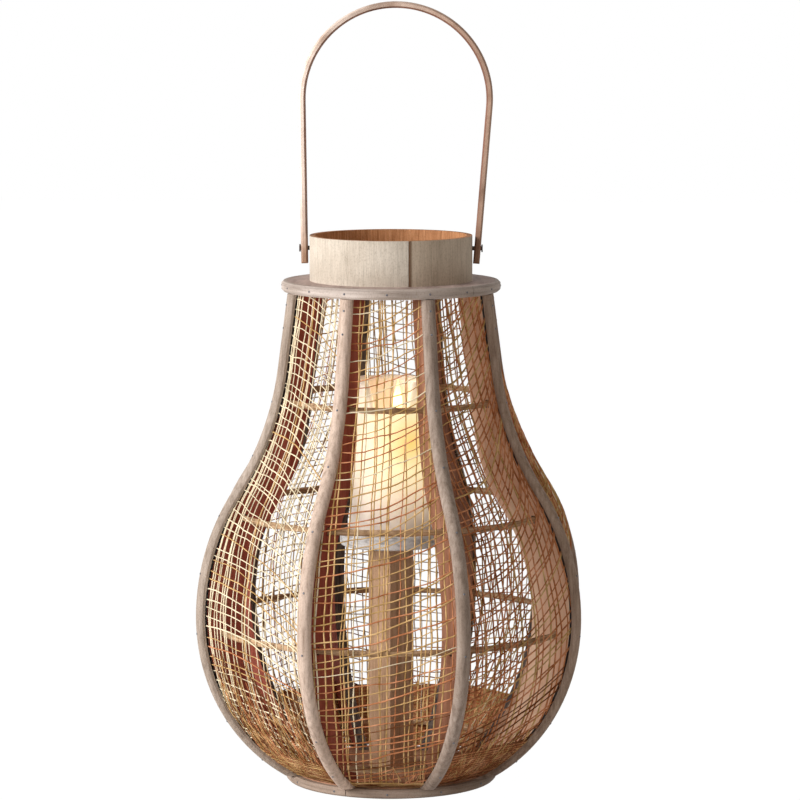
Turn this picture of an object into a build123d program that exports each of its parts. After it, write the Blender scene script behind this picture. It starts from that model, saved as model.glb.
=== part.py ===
from build123d import *
from math import acos, asin, atan, cos, degrees, hypot, radians, sin, sqrt, tan
import os

os.makedirs("parts", exist_ok=True)

# Pear-shaped candle lantern: eight bent ribs carry fibre-mesh panels between a base disc and a collar.
# Millimetres, +Z up, front towards -Y, origin on the floor under the middle of the base.

# Base
base_thickness = 9.0
base_band_thickness = 6.5
base_band_height = 8.0
base_band_chamfer = 1.5
base_band_seam = -113.0

# Ribs: the outer face of a batten, drawn as tangent arcs up from and down from the belly
rib_count = 8
rib_height = 447.5
belly_radius = 190.0
belly_height = 161.5
shoulder_radius = 205.0
shoulder_turn = 35.0
flare_radius = 250.0
flare_turn = 27.0
foot_draw = 84.4
foot_overhang = 7.6

# Rib boards: the inner edge of a board, drawn the same way
board_thickness = 10.0
board_belly_depth = 46.0
board_shoulder_radius = 180.0
board_flare_radius = 145.0
board_foot_depth = 30.6

# Battens and mesh
batten_width = 12.5
batten_thickness = 5.5
batten_side = 1.6
mesh_thickness = 1.0
mesh_edge_gap = 1.3
mesh_columns = 4
mesh_rows = 9
mesh_bar = 4.0
mesh_border = 8.0

# Cane hoops, threaded through the boards
hoop_heights = [29.0, 147.5, 252.5, 356.5]
hoop_width = 6.5
hoop_depth = 4.0

# Top plate, its band and the collar
plate_inset = 4.5
plate_width = 26.0
plate_thickness = 9.5
top_band_thickness = 5.0
top_band_chamfer = 2.0
top_band_seam = -40.0
collar_wall = 5.0
collar_height = 41.5
collar_seam = -75.4
seam_width = 0.7

# Bail handle and its rivets
bail_top = 721.5
bail_thickness = 6.0
bail_width = 11.0
bail_chamfer = 1.6
bail_arch_radius = 86.0
bail_shift = 4.5
bail_drop = 14.0
bail_foot_room = 1.2
pivot_depth = 12.0
rivet_radius = 2.0
rivet_head_radius = 3.5
rivet_head_height = 1.2
rivet_tail = 1.5

# Pedestal
post_side = 29.5
post_height = 211.5
candle_plate_radius = 47.5
candle_plate_thickness = 12.0
candle_plate_chamfer = 1.0
screw_radius = 2.0
screw_head_radius = 4.0
screw_length = 34.0
screw_recess = 0.6

# Candle
candle_radius = 38.0
candle_height = 143.0
candle_wall = 8.0
cup_depth = 41.0
pool_dish = 4.0
burnt_width = 40.0
burnt_depth = 29.0
wick_radius = 1.2
wick_height = 12.0
wick_root = 6.0

# Brads
brad_width = 1.6
brad_length = 14.0
brad_proud = 0.3
brad_heights = [66.5, 201.5, 306.5, 424.5, 445.5]
top_brad_count = 16
base_brad_count = 12
band_brad_length = 12.0

# Clearances
seat_gap = 0.3
running_gap = 0.08
press_gap = 0.02
bail_gap = 0.5
rivet_play = 0.3

# Places worked out from the sizes above
step = 360 / rib_count
half_step = step / 2
rib_bottom = base_thickness
rib_top = rib_bottom + rib_height
rib_lean = shoulder_turn - flare_turn
foot_radius = belly_radius - foot_draw
base_radius = foot_radius - foot_overhang - base_band_thickness
board_belly_radius = belly_radius - board_belly_depth
board_foot_radius = foot_radius - board_foot_depth
foot_fall = belly_height - rib_bottom
mesh_inset = batten_thickness
mesh_inner_inset = mesh_inset + mesh_thickness
board_inset = mesh_inner_inset + board_thickness / 2 * tan(radians(half_step)) + seat_gap
plate_top = rib_top + plate_thickness
collar_top = plate_top + collar_height
pivot_height = collar_top - pivot_depth
post_bottom = base_thickness
post_top = post_bottom + post_height
candle_bottom = post_top + candle_plate_thickness
candle_top = candle_bottom + candle_height
cup_floor = candle_top - cup_depth


def bowl_through(belly, foot):
    """Radius of the arc that leaves the belly upright and meets a foot radius at the ribs' bottom."""
    draw_in = belly - foot
    return (foot_fall**2 + draw_in**2) / (2 * draw_in)


bowl_radius = bowl_through(belly_radius, foot_radius)
board_bowl_radius = bowl_through(board_belly_radius, board_foot_radius)


def keep(part, name):
    """Label one finished piece and write it to its own file."""
    part.label = name
    export_step(part, f"parts/{name}.step")


def keep_round(part, name):
    """Write one copy of a flat-drawn rib piece, stood upright, for each rib."""
    upright = part.rotate(Axis.X, 90)
    for index in range(rib_count):
        keep(upright.rotate(Axis.Z, half_step + index * step), f"{name}_{index + 1}")


def rib_curve(belly, shoulder, flare, bowl, bottom, top):
    """Draw one edge of a rib, x outward and y up, from bottom to top, and return its two ends."""
    fall = degrees(asin((belly_height - bottom) / bowl))
    lower = JernArc((belly, belly_height), (0, -1), bowl, -fall)
    upper = JernArc((belly, belly_height), (0, 1), shoulder, shoulder_turn)
    neck = JernArc(upper @ 1, upper % 1, flare, -flare_turn)
    rise = top - (neck @ 1).Y
    stem = PolarLine(neck @ 1, rise, 90 + rib_lean, length_mode=LengthMode.VERTICAL)
    return lower @ 1, stem @ 1


def rib_line(inset, bottom, top):
    """Draw the line that lies an inset inside the battens' outer faces."""
    return rib_curve(
        belly_radius - inset,
        shoulder_radius - inset,
        flare_radius + inset,
        bowl_radius - inset,
        bottom,
        top,
    )


def rib_radius(inset, height):
    """Radius of that line at a height."""
    belly = belly_radius - inset
    if height < belly_height:
        bowl = bowl_radius - inset
        return belly - bowl + sqrt(bowl**2 - (belly_height - height) ** 2)
    shoulder = shoulder_radius - inset
    shoulder_end = belly_height + shoulder * sin(radians(shoulder_turn))
    if height < shoulder_end:
        return belly - shoulder + sqrt(shoulder**2 - (height - belly_height) ** 2)
    flare = flare_radius + inset
    reach = shoulder + flare
    centre_radius = belly - shoulder + reach * cos(radians(shoulder_turn))
    centre_height = belly_height + reach * sin(radians(shoulder_turn))
    flare_end = centre_height - flare * sin(radians(rib_lean))
    if height < flare_end:
        return centre_radius - sqrt(flare**2 - (centre_height - height) ** 2)
    end_radius = centre_radius - flare * cos(radians(rib_lean))
    return end_radius - (height - flare_end) * tan(radians(rib_lean))


head_radius = rib_radius(0, rib_top)
plate_radius = head_radius - plate_inset
mouth_radius = plate_radius - plate_width
collar_radius = mouth_radius + collar_wall


def rib_slope(height):
    """Angle by which the rib leans from upright at a height, outward positive."""
    span = 1.0
    change = rib_radius(mesh_inset, height + span) - rib_radius(mesh_inset, height - span)
    return degrees(atan(change / (2 * span)))


def hoop_radius(height):
    """Outer radius of a hoop that lies just inside the flat mesh panels."""
    lowest = rib_radius(mesh_inner_inset, height - hoop_width / 2)
    highest = rib_radius(mesh_inner_inset, height + hoop_width / 2)
    return min(lowest, highest) * cos(radians(half_step)) - seat_gap


def cut_seam(radius, bottom, height, azimuth):
    """Cut the butt seam of a bent strip through the ring that is being built."""
    with Locations(Location((0, 0, bottom), (0, 0, azimuth))):
        Box(
            radius,
            seam_width,
            height,
            align=(Align.MIN, Align.CENTER, Align.MIN),
            mode=Mode.SUBTRACT,
        )


# Base disc, with the countersunk hole of the pedestal's lower screw
with BuildPart() as base_disc:
    Cylinder(base_radius, base_thickness, align=(Align.CENTER, Align.CENTER, Align.MIN))
    with Locations(base_disc.faces().sort_by(Axis.Z)[0]):
        CounterSinkHole(screw_radius + press_gap, screw_head_radius + screw_recess)
keep(base_disc.part, "base_disc")

# Band bent round the edge of the base disc
with BuildPart() as base_band:
    with BuildSketch():
        Circle(base_radius + base_band_thickness)
        Circle(base_radius, mode=Mode.SUBTRACT)
    extrude(amount=base_band_height)
    chamfer(base_band.edges().filter_by(GeomType.CIRCLE).sort_by(SortBy.RADIUS)[-2:], base_band_chamfer)
    cut_seam(2 * base_radius, 0, base_band_height, base_band_seam)
keep(base_band.part, "base_band")

# Rib boards, drawn flat, with a window for each hoop
with BuildPart() as rib_board:
    with BuildSketch():
        with BuildLine():
            outer_foot, outer_head = rib_line(board_inset, rib_bottom, rib_top)
            inner_foot, inner_head = rib_curve(
                board_belly_radius,
                board_shoulder_radius,
                board_flare_radius,
                board_bowl_radius,
                rib_bottom,
                rib_top,
            )
            Line(outer_foot, inner_foot)
            Line(outer_head, inner_head)
        make_face()
        for height in hoop_heights:
            with Locations((hoop_radius(height) - hoop_depth / 2, height)):
                Rectangle(hoop_depth + 2 * seat_gap, hoop_width + 2 * seat_gap, mode=Mode.SUBTRACT)
    extrude(amount=board_thickness / 2, both=True)
keep_round(rib_board.part, "rib_board")

# Half-round battens, drawn flat: a crowned strip whose underside clears the mesh on both sides
batten_bottom = base_band_height + seat_gap
batten_top = rib_top - seat_gap
batten_overrun = 6.0
foot_slope = rib_slope(batten_bottom)
underside_drop = batten_width / 2 * tan(radians(half_step)) * cos(radians(foot_slope))
with BuildPart() as rib_batten:
    with BuildLine() as batten_path:
        ends = rib_line(mesh_inset, batten_bottom - batten_overrun, batten_top + batten_overrun)
    stem_down = (sin(radians(rib_lean)), -cos(radians(rib_lean)), 0)
    with BuildSketch(Plane(ends[1], x_dir=(0, 0, -1), z_dir=stem_down)):
        with BuildLine():
            left_edge = (-batten_width / 2, seat_gap - underside_drop)
            right_edge = (batten_width / 2, seat_gap - underside_drop)
            left_side = (-batten_width / 2, batten_side)
            right_side = (batten_width / 2, batten_side)
            Polyline(left_side, left_edge, (0, seat_gap), right_edge, right_side)
            ThreePointArc(left_side, (0, batten_thickness), right_side)
        make_face()
    sweep(path=batten_path.wires()[0])
    split(bisect_by=Plane((0, batten_bottom, 0), z_dir=(0, 1, 0)), keep=Keep.TOP)
    split(bisect_by=Plane((0, batten_top, 0), z_dir=(0, 1, 0)), keep=Keep.BOTTOM)
keep_round(rib_batten.part, "rib_batten")

def panel_place(height, column):
    """Sideways place of a line between columns of openings in a panel, at a height."""
    half_width = rib_radius(mesh_inset, height) * sin(radians(half_step)) - mesh_border
    return half_width * (2 * column / mesh_columns - 1)


# Mesh panels: thin sheets stretched flat between neighbouring ribs, with a plain grid for the weave
mesh_bottom = rib_bottom + seat_gap
mesh_top = rib_top - seat_gap
with BuildPart() as mesh_panel:
    for side in (-1, 1):
        azimuth = radians(side * half_step)
        outward = Vector(cos(azimuth), sin(azimuth), 0)
        inward_along = Vector(sin(azimuth), -cos(azimuth), 0) * side
        edge_shift = inward_along * mesh_edge_gap - outward * (mesh_edge_gap * tan(radians(half_step)))
        with BuildSketch(Plane(edge_shift, x_dir=outward, z_dir=(sin(azimuth), -cos(azimuth), 0))):
            with BuildLine():
                skin_foot, skin_head = rib_line(mesh_inset, mesh_bottom, mesh_top)
                back_foot, back_head = rib_line(mesh_inner_inset, mesh_bottom, mesh_top)
                Line(skin_foot, back_foot)
                Line(skin_head, back_head)
            make_face()
    loft(ruled=True)
    row_pitch = (mesh_top - mesh_bottom - mesh_bar) / mesh_rows
    with BuildSketch(Plane.YZ):
        for row in range(mesh_rows):
            low = mesh_bottom + mesh_bar + row * row_pitch
            high = low + row_pitch - mesh_bar
            for column in range(mesh_columns):
                with BuildLine():
                    Polyline(
                        (panel_place(low, column) + mesh_bar / 2, low),
                        (panel_place(low, column + 1) - mesh_bar / 2, low),
                        (panel_place(high, column + 1) - mesh_bar / 2, high),
                        (panel_place(high, column) + mesh_bar / 2, high),
                        close=True,
                    )
                make_face()
    extrude(amount=2 * belly_radius, mode=Mode.SUBTRACT)
for index in range(rib_count):
    keep(mesh_panel.part.rotate(Axis.Z, index * step), f"mesh_panel_{index + 1}")

# Cane hoops behind the mesh
hoop_names = ["foot_hoop", "lower_hoop", "middle_hoop", "upper_hoop"]
for name, height in zip(hoop_names, hoop_heights):
    with BuildPart() as hoop:
        with BuildSketch(Plane.XY.offset(height - hoop_width / 2)):
            Circle(hoop_radius(height))
            Circle(hoop_radius(height) - hoop_depth, mode=Mode.SUBTRACT)
        extrude(amount=hoop_width)
    keep(hoop.part, name)

# Top plate under the collar
with BuildPart() as top_plate:
    with BuildSketch(Plane.XY.offset(rib_top)):
        Circle(plate_radius)
        Circle(mouth_radius, mode=Mode.SUBTRACT)
    extrude(amount=plate_thickness)
keep(top_plate.part, "top_plate")

# Band bent round the edge of the top plate
with BuildPart() as top_band:
    with BuildSketch(Plane.XY.offset(rib_top)):
        Circle(plate_radius + top_band_thickness)
        Circle(plate_radius, mode=Mode.SUBTRACT)
    extrude(amount=plate_thickness)
    chamfer(top_band.edges().filter_by(GeomType.CIRCLE).sort_by(SortBy.RADIUS)[-2:], top_band_chamfer)
    cut_seam(2 * plate_radius, rib_top, plate_thickness, top_band_seam)
keep(top_band.part, "top_band")

# Collar hoop, with the rivet holes that carry the bail
with BuildPart() as collar_hoop:
    with BuildSketch(Plane.XY.offset(plate_top)):
        Circle(collar_radius)
        Circle(mouth_radius, mode=Mode.SUBTRACT)
    extrude(amount=collar_height)
    cut_seam(2 * collar_radius, plate_top, collar_height, collar_seam)
    with BuildSketch(Plane.YZ):
        with Locations((0, pivot_height)):
            Circle(rivet_radius + press_gap)
    extrude(amount=2 * collar_radius, both=True, mode=Mode.SUBTRACT)
keep(collar_hoop.part, "collar_hoop")

# Bail handle: a bent cane strip, two legs that lean out under a round arch, which sits a little to the right
crown_height = bail_top - bail_thickness / 2
arch_height = crown_height - bail_arch_radius
arch_rise = arch_height - pivot_height
pivot_radius = collar_radius + bail_gap + bail_thickness / 2 + bail_foot_room


def leg_lean(side):
    """Angle at which the leg on one side leaves the arch to reach its rivet."""
    reach = pivot_radius - side * bail_shift
    return degrees(atan(arch_rise / reach) - acos(bail_arch_radius / hypot(arch_rise, reach)))


right_lean = leg_lean(1)
left_lean = leg_lean(-1)
with BuildPart() as bail_handle:
    with BuildSketch(Plane.XZ):
        with BuildLine():
            feet = []
            for edge_radius in (bail_arch_radius + bail_thickness / 2, bail_arch_radius - bail_thickness / 2):
                arch = CenterArc((bail_shift, arch_height), edge_radius, -right_lean, 180 + right_lean + left_lean)
                right_drop = arch_rise - bail_arch_radius * sin(radians(right_lean))
                left_drop = arch_rise - bail_arch_radius * sin(radians(left_lean))
                right_leg = PolarLine(arch @ 0, right_drop / cos(radians(right_lean)) + bail_drop, 270 - right_lean)
                left_leg = PolarLine(arch @ 1, left_drop / cos(radians(left_lean)) + bail_drop, 270 + left_lean)
                feet.append((right_leg @ 1, left_leg @ 1))
            for outer_end, inner_end in zip(*feet):
                Line(outer_end, inner_end)
        make_face()
    extrude(amount=bail_width / 2, both=True)
    long_edges = bail_handle.faces().sort_by(Axis.Y)[0].edges() + bail_handle.faces().sort_by(Axis.Y)[-1].edges()
    chamfer(long_edges, bail_chamfer)
    with BuildSketch(Plane.YZ):
        with Locations((0, pivot_height)):
            Circle(rivet_radius + running_gap)
    extrude(amount=2 * pivot_radius, both=True, mode=Mode.SUBTRACT)
keep(bail_handle.part, "bail_handle")

# Rivets that the bail swings on
head_rise = rivet_head_radius * sin(radians(right_lean))
rivet_reach = pivot_radius + (bail_thickness / 2 + head_rise) / cos(radians(right_lean)) + rivet_play
with BuildPart() as bail_rivets:
    with BuildSketch(Plane.YZ.offset(mouth_radius - rivet_tail)):
        with Locations((0, pivot_height)):
            Circle(rivet_radius)
    extrude(amount=rivet_reach - mouth_radius + rivet_tail)
    with BuildSketch(Plane.YZ.offset(rivet_reach)):
        with Locations((0, pivot_height)):
            Circle(rivet_head_radius)
    extrude(amount=rivet_head_height)
    mirror(about=Plane.YZ)
keep(bail_rivets.part, "bail_rivets")

# Square pedestal post, a corner to the front, bored for its two screws
with BuildPart() as pedestal_post:
    with BuildSketch(Plane.XY.offset(post_bottom)):
        Rectangle(post_side, post_side, rotation=45)
    extrude(amount=post_height)
    with Locations((0, 0, post_bottom + post_height / 2)):
        Cylinder(screw_radius + press_gap, post_height, mode=Mode.SUBTRACT)
keep(pedestal_post.part, "pedestal_post")

# Round plate that the candle stands on
with BuildPart() as candle_plate:
    with BuildSketch(Plane.XY.offset(post_top)):
        Circle(candle_plate_radius)
    extrude(amount=candle_plate_thickness)
    chamfer(candle_plate.edges(), candle_plate_chamfer)
    with Locations(candle_plate.faces().sort_by(Axis.Z)[-1]):
        CounterSinkHole(screw_radius + press_gap, screw_head_radius + screw_recess)
keep(candle_plate.part, "candle_plate")

# Countersunk screws, one up through the base and one down through the candle plate
screw_head_height = screw_head_radius - screw_radius
with BuildPart() as pedestal_screws:
    for place in (
        Location((0, 0, screw_recess)),
        Location((0, 0, candle_bottom - screw_recess), (180, 0, 0)),
    ):
        with Locations(place):
            Cone(
                screw_head_radius,
                screw_radius,
                screw_head_height,
                align=(Align.CENTER, Align.CENTER, Align.MIN),
            )
            Cylinder(screw_radius, screw_length, align=(Align.CENTER, Align.CENTER, Align.MIN))
keep(pedestal_screws.part, "pedestal_screws")

# Pillar candle, burnt down inside and through at the front
cup_radius = candle_radius - candle_wall
with BuildPart() as candle_wax:
    with BuildSketch(Plane.XZ):
        with BuildLine():
            pool_edge = (cup_radius, cup_floor + pool_dish)
            dish = TangentArc((0, cup_floor), pool_edge, tangent=(1, 0))
            Polyline(
                dish @ 1,
                (cup_radius, candle_top),
                (candle_radius, candle_top),
                (candle_radius, candle_bottom),
                (0, candle_bottom),
                dish @ 0,
            )
        make_face()
    revolve(axis=Axis.Z)
    with BuildSketch(Plane.XZ):
        with Locations((0, candle_top - burnt_depth + burnt_width / 2)):
            Circle(burnt_width / 2)
        with Locations((0, candle_top - burnt_depth + burnt_width / 2)):
            Rectangle(burnt_width, burnt_depth, align=(Align.CENTER, Align.MIN))
    extrude(amount=2 * candle_radius, mode=Mode.SUBTRACT)
    with Locations((0, 0, cup_floor - wick_root)):
        Cylinder(
            wick_radius + press_gap,
            wick_root + pool_dish,
            align=(Align.CENTER, Align.CENTER, Align.MIN),
            mode=Mode.SUBTRACT,
        )
keep(candle_wax.part, "candle_wax")

# Wick, rooted in the wax under the melt pool
with BuildPart() as candle_wick:
    with Locations((0, 0, cup_floor - wick_root)):
        Cylinder(wick_radius, wick_root + wick_height, align=(Align.CENTER, Align.CENTER, Align.MIN))
keep(candle_wick.part, "candle_wick")

# Brads through the battens into the boards, drawn flat along one rib and set round
with BuildPart() as rib_brad_row:
    for height in hoop_heights + brad_heights:
        slope = radians(rib_slope(height))
        outward = Vector(cos(slope), -sin(slope), 0)
        seat = Vector(rib_radius(mesh_inset, height), height, 0) + outward * (batten_thickness + brad_proud)
        with BuildSketch(Plane(seat, x_dir=(0, 0, 1), z_dir=outward)):
            Rectangle(brad_width, brad_width)
        extrude(amount=-brad_length)
upright_row = rib_brad_row.part.rotate(Axis.X, 90)
with BuildPart() as rib_brads:
    for index in range(rib_count):
        add(upright_row.rotate(Axis.Z, half_step + index * step))
keep(rib_brads.part, "rib_brads")

# Brads through the two bands
with BuildPart() as top_band_brads:
    with Locations((0, 0, rib_top + plate_thickness / 2)):
        with PolarLocations(plate_radius + top_band_thickness + brad_proud, top_brad_count):
            Box(band_brad_length, brad_width, brad_width, align=(Align.MAX, Align.CENTER, Align.CENTER))
keep(top_band_brads.part, "top_band_brads")

with BuildPart() as base_band_brads:
    with Locations((0, 0, base_band_height / 2)):
        with PolarLocations(base_radius + base_band_thickness + brad_proud, base_brad_count):
            Box(band_brad_length, brad_width, brad_width, align=(Align.MAX, Align.CENTER, Align.CENTER))
keep(base_band_brads.part, "base_band_brads")
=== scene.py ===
"""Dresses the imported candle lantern: woven fibre panels, cane, wood, nails, candle and stage."""

import random
from math import asin, cos, pi, radians, sin, sqrt, tan

import bmesh
import bpy
from mathutils import Color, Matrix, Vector, noise


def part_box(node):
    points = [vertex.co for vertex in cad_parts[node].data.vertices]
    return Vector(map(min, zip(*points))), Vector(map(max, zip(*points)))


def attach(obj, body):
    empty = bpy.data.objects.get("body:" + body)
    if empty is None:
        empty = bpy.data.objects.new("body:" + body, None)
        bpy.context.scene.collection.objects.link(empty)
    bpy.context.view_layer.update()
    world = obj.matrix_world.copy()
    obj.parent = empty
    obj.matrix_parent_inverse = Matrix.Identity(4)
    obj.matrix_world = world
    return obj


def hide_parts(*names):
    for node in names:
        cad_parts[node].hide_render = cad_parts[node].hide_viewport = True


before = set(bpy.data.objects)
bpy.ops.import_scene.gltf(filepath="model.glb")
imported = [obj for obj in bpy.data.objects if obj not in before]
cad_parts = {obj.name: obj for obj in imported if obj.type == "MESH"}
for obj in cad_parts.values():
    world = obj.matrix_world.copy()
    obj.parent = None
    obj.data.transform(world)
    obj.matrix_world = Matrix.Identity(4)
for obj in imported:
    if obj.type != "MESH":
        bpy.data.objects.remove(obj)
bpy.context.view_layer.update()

bl_info = {
    "name": "Candle lantern",
    "version": (1, 0, 0),
    "blender": (4, 5, 0),
    "location": "View3D > Sidebar > Lantern",
    "description": "Dresses the packed candle lantern: weave, cane, wood, nails, candle and stage",
    "category": "Add Mesh",
}

# Names in the frame
ROOT = "lantern_frame"
CANDLE = "candle"
RIB_COUNT = 8
PANELS = ["mesh_panel_" + str(index + 1) for index in range(RIB_COUNT)]
BOARDS = ["rib_board_" + str(index + 1) for index in range(RIB_COUNT)]
BATTENS = ["rib_batten_" + str(index + 1) for index in range(RIB_COUNT)]
HOOPS = ["foot_hoop", "lower_hoop", "middle_hoop", "upper_hoop"]
HALF_STEP = pi / RIB_COUNT

# The rib line, in metres, as the part's source draws it
BELLY_RADIUS = 0.190
BELLY_HEIGHT = 0.1615
BOWL_RADIUS = 0.180
SHOULDER_RADIUS = 0.205
SHOULDER_TURN = radians(35)
FLARE_RADIUS = 0.250
RIB_LEAN = radians(8)
BATTEN_THICKNESS = 0.0055
MESH_THICKNESS = 0.001
MESH_LINE = BATTEN_THICKNESS + MESH_THICKNESS / 2
COLLAR_SEAM = radians(-75.4)

# Plain colours
WHITE = (1, 1, 1, 1)
BLACK = (0, 0, 0, 1)

# Stray values: how far apart in the noise two tracks lie, and the last track
TRACK_STEP_X = 7.31
TRACK_STEP_Z = 1.7
LAST_TRACK = 400

# What differs between panels, from the right side round by the back to the front right
# Shares of cream and of golden fibres; the rest are russet
# Cream at the left, russet at the right and the paler back panels are painted light and shade
CREAM_SHARE = [0.05, 0.35, 0.45, 0.40, 0.70, 0.85, 0.17, 0.0]
GOLD_SHARE = [0.34, 0.40, 0.40, 0.40, 0.25, 0.12, 0.56, 0.30]
# How far the weft climbs to the right over a unit of width, at the foot and at the head
FOOT_CLIMB = [0.20, -0.10, 0.08, -0.12, -0.10, -0.16, 0.18, 0.42]
HEAD_CLIMB = [0.60, -0.25, 0.15, -0.20, -0.30, -0.52, 0.42, 0.85]
# How far the upright fibres lean to the right over a unit of height
WARP_LEAN = [0.22, -0.05, 0.04, -0.05, 0.03, 0.02, 0.02, -0.10]
# How much thicker than the mean its fibres are
FIBRE_GIRTH = [1.15, 1.0, 1.0, 1.0, 1.0, 1.0, 1.08, 1.25]
# How far the net stands out over the hollow of the neck
NECK_BRIDGE = [0.011, 0.006, 0.005, 0.006, 0.005, 0.005, 0.005, 0.006]
# Loose ends at the foot, and how high the woven hem stands over it
FRAY_COUNT = [120, 90, 90, 90, 130, 220, 14, 190]
HEM_HEIGHT = [0.036, 0.050, 0.048, 0.050, 0.040, 0.024, 0.004, 0.038]
# Which fibre most of the hem's rows have, and which every third row has: 1 gold, 2 russet, 3 brown
# The back panels' hem rows are gold and russet, not brown, as painted light on their shaded inside
HEM_FIBRES = [(3, 2), (2, 1), (2, 1), (2, 1), (3, 1), (3, 1), (3, 1), (3, 2)]
# How high the loose ends reach
FRAY_REACH = [0.045, 0.050, 0.050, 0.050, 0.060, 0.120, 0.020, 0.050]


def tone(red, green, blue):
    """A colour given as display values from 0 to 255, as the shader's linear values."""
    display = Color((red / 255, green / 255, blue / 255))
    return (*display.from_srgb_to_scene_linear(), 1.0)


def shades(colour, fall, rise):
    """The dark, own and pale tones of a colour setting, some levels of 255 below and above it."""
    levels = [255 * value for value in colour]
    dark = [max(0, level - fall) for level in levels]
    pale = [min(255, level + rise) for level in levels]
    return tone(*dark), tone(*levels), tone(*pale)


def swatch(name, description, red, green, blue):
    """A colour setting, its default given as display values from 0 to 255."""
    return bpy.props.FloatVectorProperty(
        name=name,
        description=description,
        default=(red / 255, green / 255, blue / 255),
        min=0,
        max=1,
        subtype="COLOR_GAMMA",
    )


def tint(name, description, colour):
    """The colour of a light, in linear values."""
    return bpy.props.FloatVectorProperty(
        name=name, description=description, default=colour, min=0, max=1, subtype="COLOR"
    )


def measure(name, description, default, unit="LENGTH"):
    """A number setting, a length in metres unless it has another unit."""
    return bpy.props.FloatProperty(name=name, description=description, default=default, unit=unit)


class WoodSettings(bpy.types.PropertyGroup):
    # Board faces: the red tone is painted shade on faces turned right; brown and salmon are painted
    # light on faces turned left
    shaded_board_face: swatch("Board painted shade", "Right faces of the rib boards, from outside", 150, 76, 60)
    lit_board_face_brown: swatch("Board painted light brown", "Left faces of half of the rib boards", 178, 127, 100)
    lit_board_face_salmon: swatch("Board painted light salmon", "Left faces of the other rib boards", 254, 214, 184)
    # Batten tones step from pale at the left to dark at the right as painted light and shade from
    # the left
    beige_batten: swatch("Beige batten", "The two battens at the left", 172, 157, 145)
    rose_batten: swatch("Rose batten", "Battens at the front left and back left", 203, 181, 166)
    grey_batten: swatch("Grey batten", "Battens at the front right and back right", 160, 143, 131)
    taupe_batten: swatch("Taupe batten", "The two battens at the right", 160, 138, 122)
    base: swatch("Base", "Plywood disc at the foot", 170, 124, 96)
    # The foot band is the band cane set darker, as painted shade
    foot_band: swatch("Foot band", "Cane round the base", 166, 148, 135)
    top_band: swatch("Top band", "Cane round the top plate", 189, 176, 168)
    top_plate: swatch("Top plate", "Ring under the collar", 189, 168, 161)
    collar_outside: swatch("Collar outside", "Weathered face of the collar", 209, 199, 186)
    collar_inside: swatch("Collar inside", "Warm face of the collar", 184, 131, 91)
    bail: swatch("Bail", "Cane of the bail at its palest", 230, 210, 197)
    post: swatch("Post", "Timber of the pedestal", 204, 166, 134)
    plate: swatch("Candle plate", "Paint of the candle plate", 226, 226, 228)


class WeaveSettings(bpy.types.PropertyGroup):
    # Cream mostly at the left and russet mostly at the right is painted light and shade
    cream: swatch("Cream fibre", "Palest fibres, mostly at the left", 236, 222, 192)
    gold: swatch("Gold fibre", "Golden fibres, mostly at the front", 204, 168, 114)
    russet: swatch("Russet fibre", "Reddish fibres, mostly at the right", 194, 130, 90)
    brown: swatch("Brown fibre", "Brown fibres at the foot", 124, 80, 50)
    thread_diameter: measure("Thread diameter", "Mean thickness of a fibre", 0.0012)
    warp_pitch: measure("Warp pitch", "Distance between upright fibres", 0.0073)
    weft_pitch: measure("Weft pitch", "Distance between cross fibres", 0.0082)
    wobble: measure("Wobble", "How far a fibre strays from its line", 0.0022)
    cover: measure("Cover", "Share of a panel that its fibres cover", 0.72, "NONE")
    seed: bpy.props.IntProperty(name="Seed", description="Start of the random sequence", default=11)


class CaneSettings(bpy.types.PropertyGroup):
    hoop: swatch("Hoop", "Split cane of the hoops", 192, 160, 126)
    hoop_unevenness: measure("Hoop unevenness", "How far a hoop's surface strays", 0.0007)
    nail_radius: measure("Nail radius", "Radius of a brad's domed head", 0.0010)


class CandleSettings(bpy.types.PropertyGroup):
    wax: swatch("Wax", "Ivory of the wax, away from the flame", 226, 213, 202)
    rim_unevenness: measure("Rim unevenness", "Rise and fall of the burnt rim", 0.0022)
    flame_height: measure("Flame height", "Height of the flame over the wick", 0.031)
    flame_radius: measure("Flame radius", "Widest radius of the flame", 0.0052)
    flame_power: measure("Flame power", "Light that the flame gives", 0.03, "POWER")


class StageSettings(bpy.types.PropertyGroup):
    camera_distance: measure("Camera distance", "From the lantern's axis", 3.4)
    camera_height: measure("Camera height", "Above the floor", 0.7665)
    camera_yaw: measure("Camera yaw", "Turn right of the front", radians(2.0), "ROTATION")
    aim_right: measure("Aim right", "Picture's middle, right of the axis", 0.0083)
    aim_height: measure("Aim height", "Picture's middle, above the floor", 0.3545)
    lens: measure("Lens", "Focal length in millimetres", 166.5, "CAMERA")
    key_power: measure("Key power", "Soft light at the left", 90.0, "POWER")
    key_colour: tint("Key colour", "Light at the left", (1.0, 0.985, 0.965))
    fill_power: measure("Fill power", "Soft light at the right", 3.5, "POWER")
    fill_colour: tint("Fill colour", "Light at the right", (1.0, 0.84, 0.68))


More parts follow.
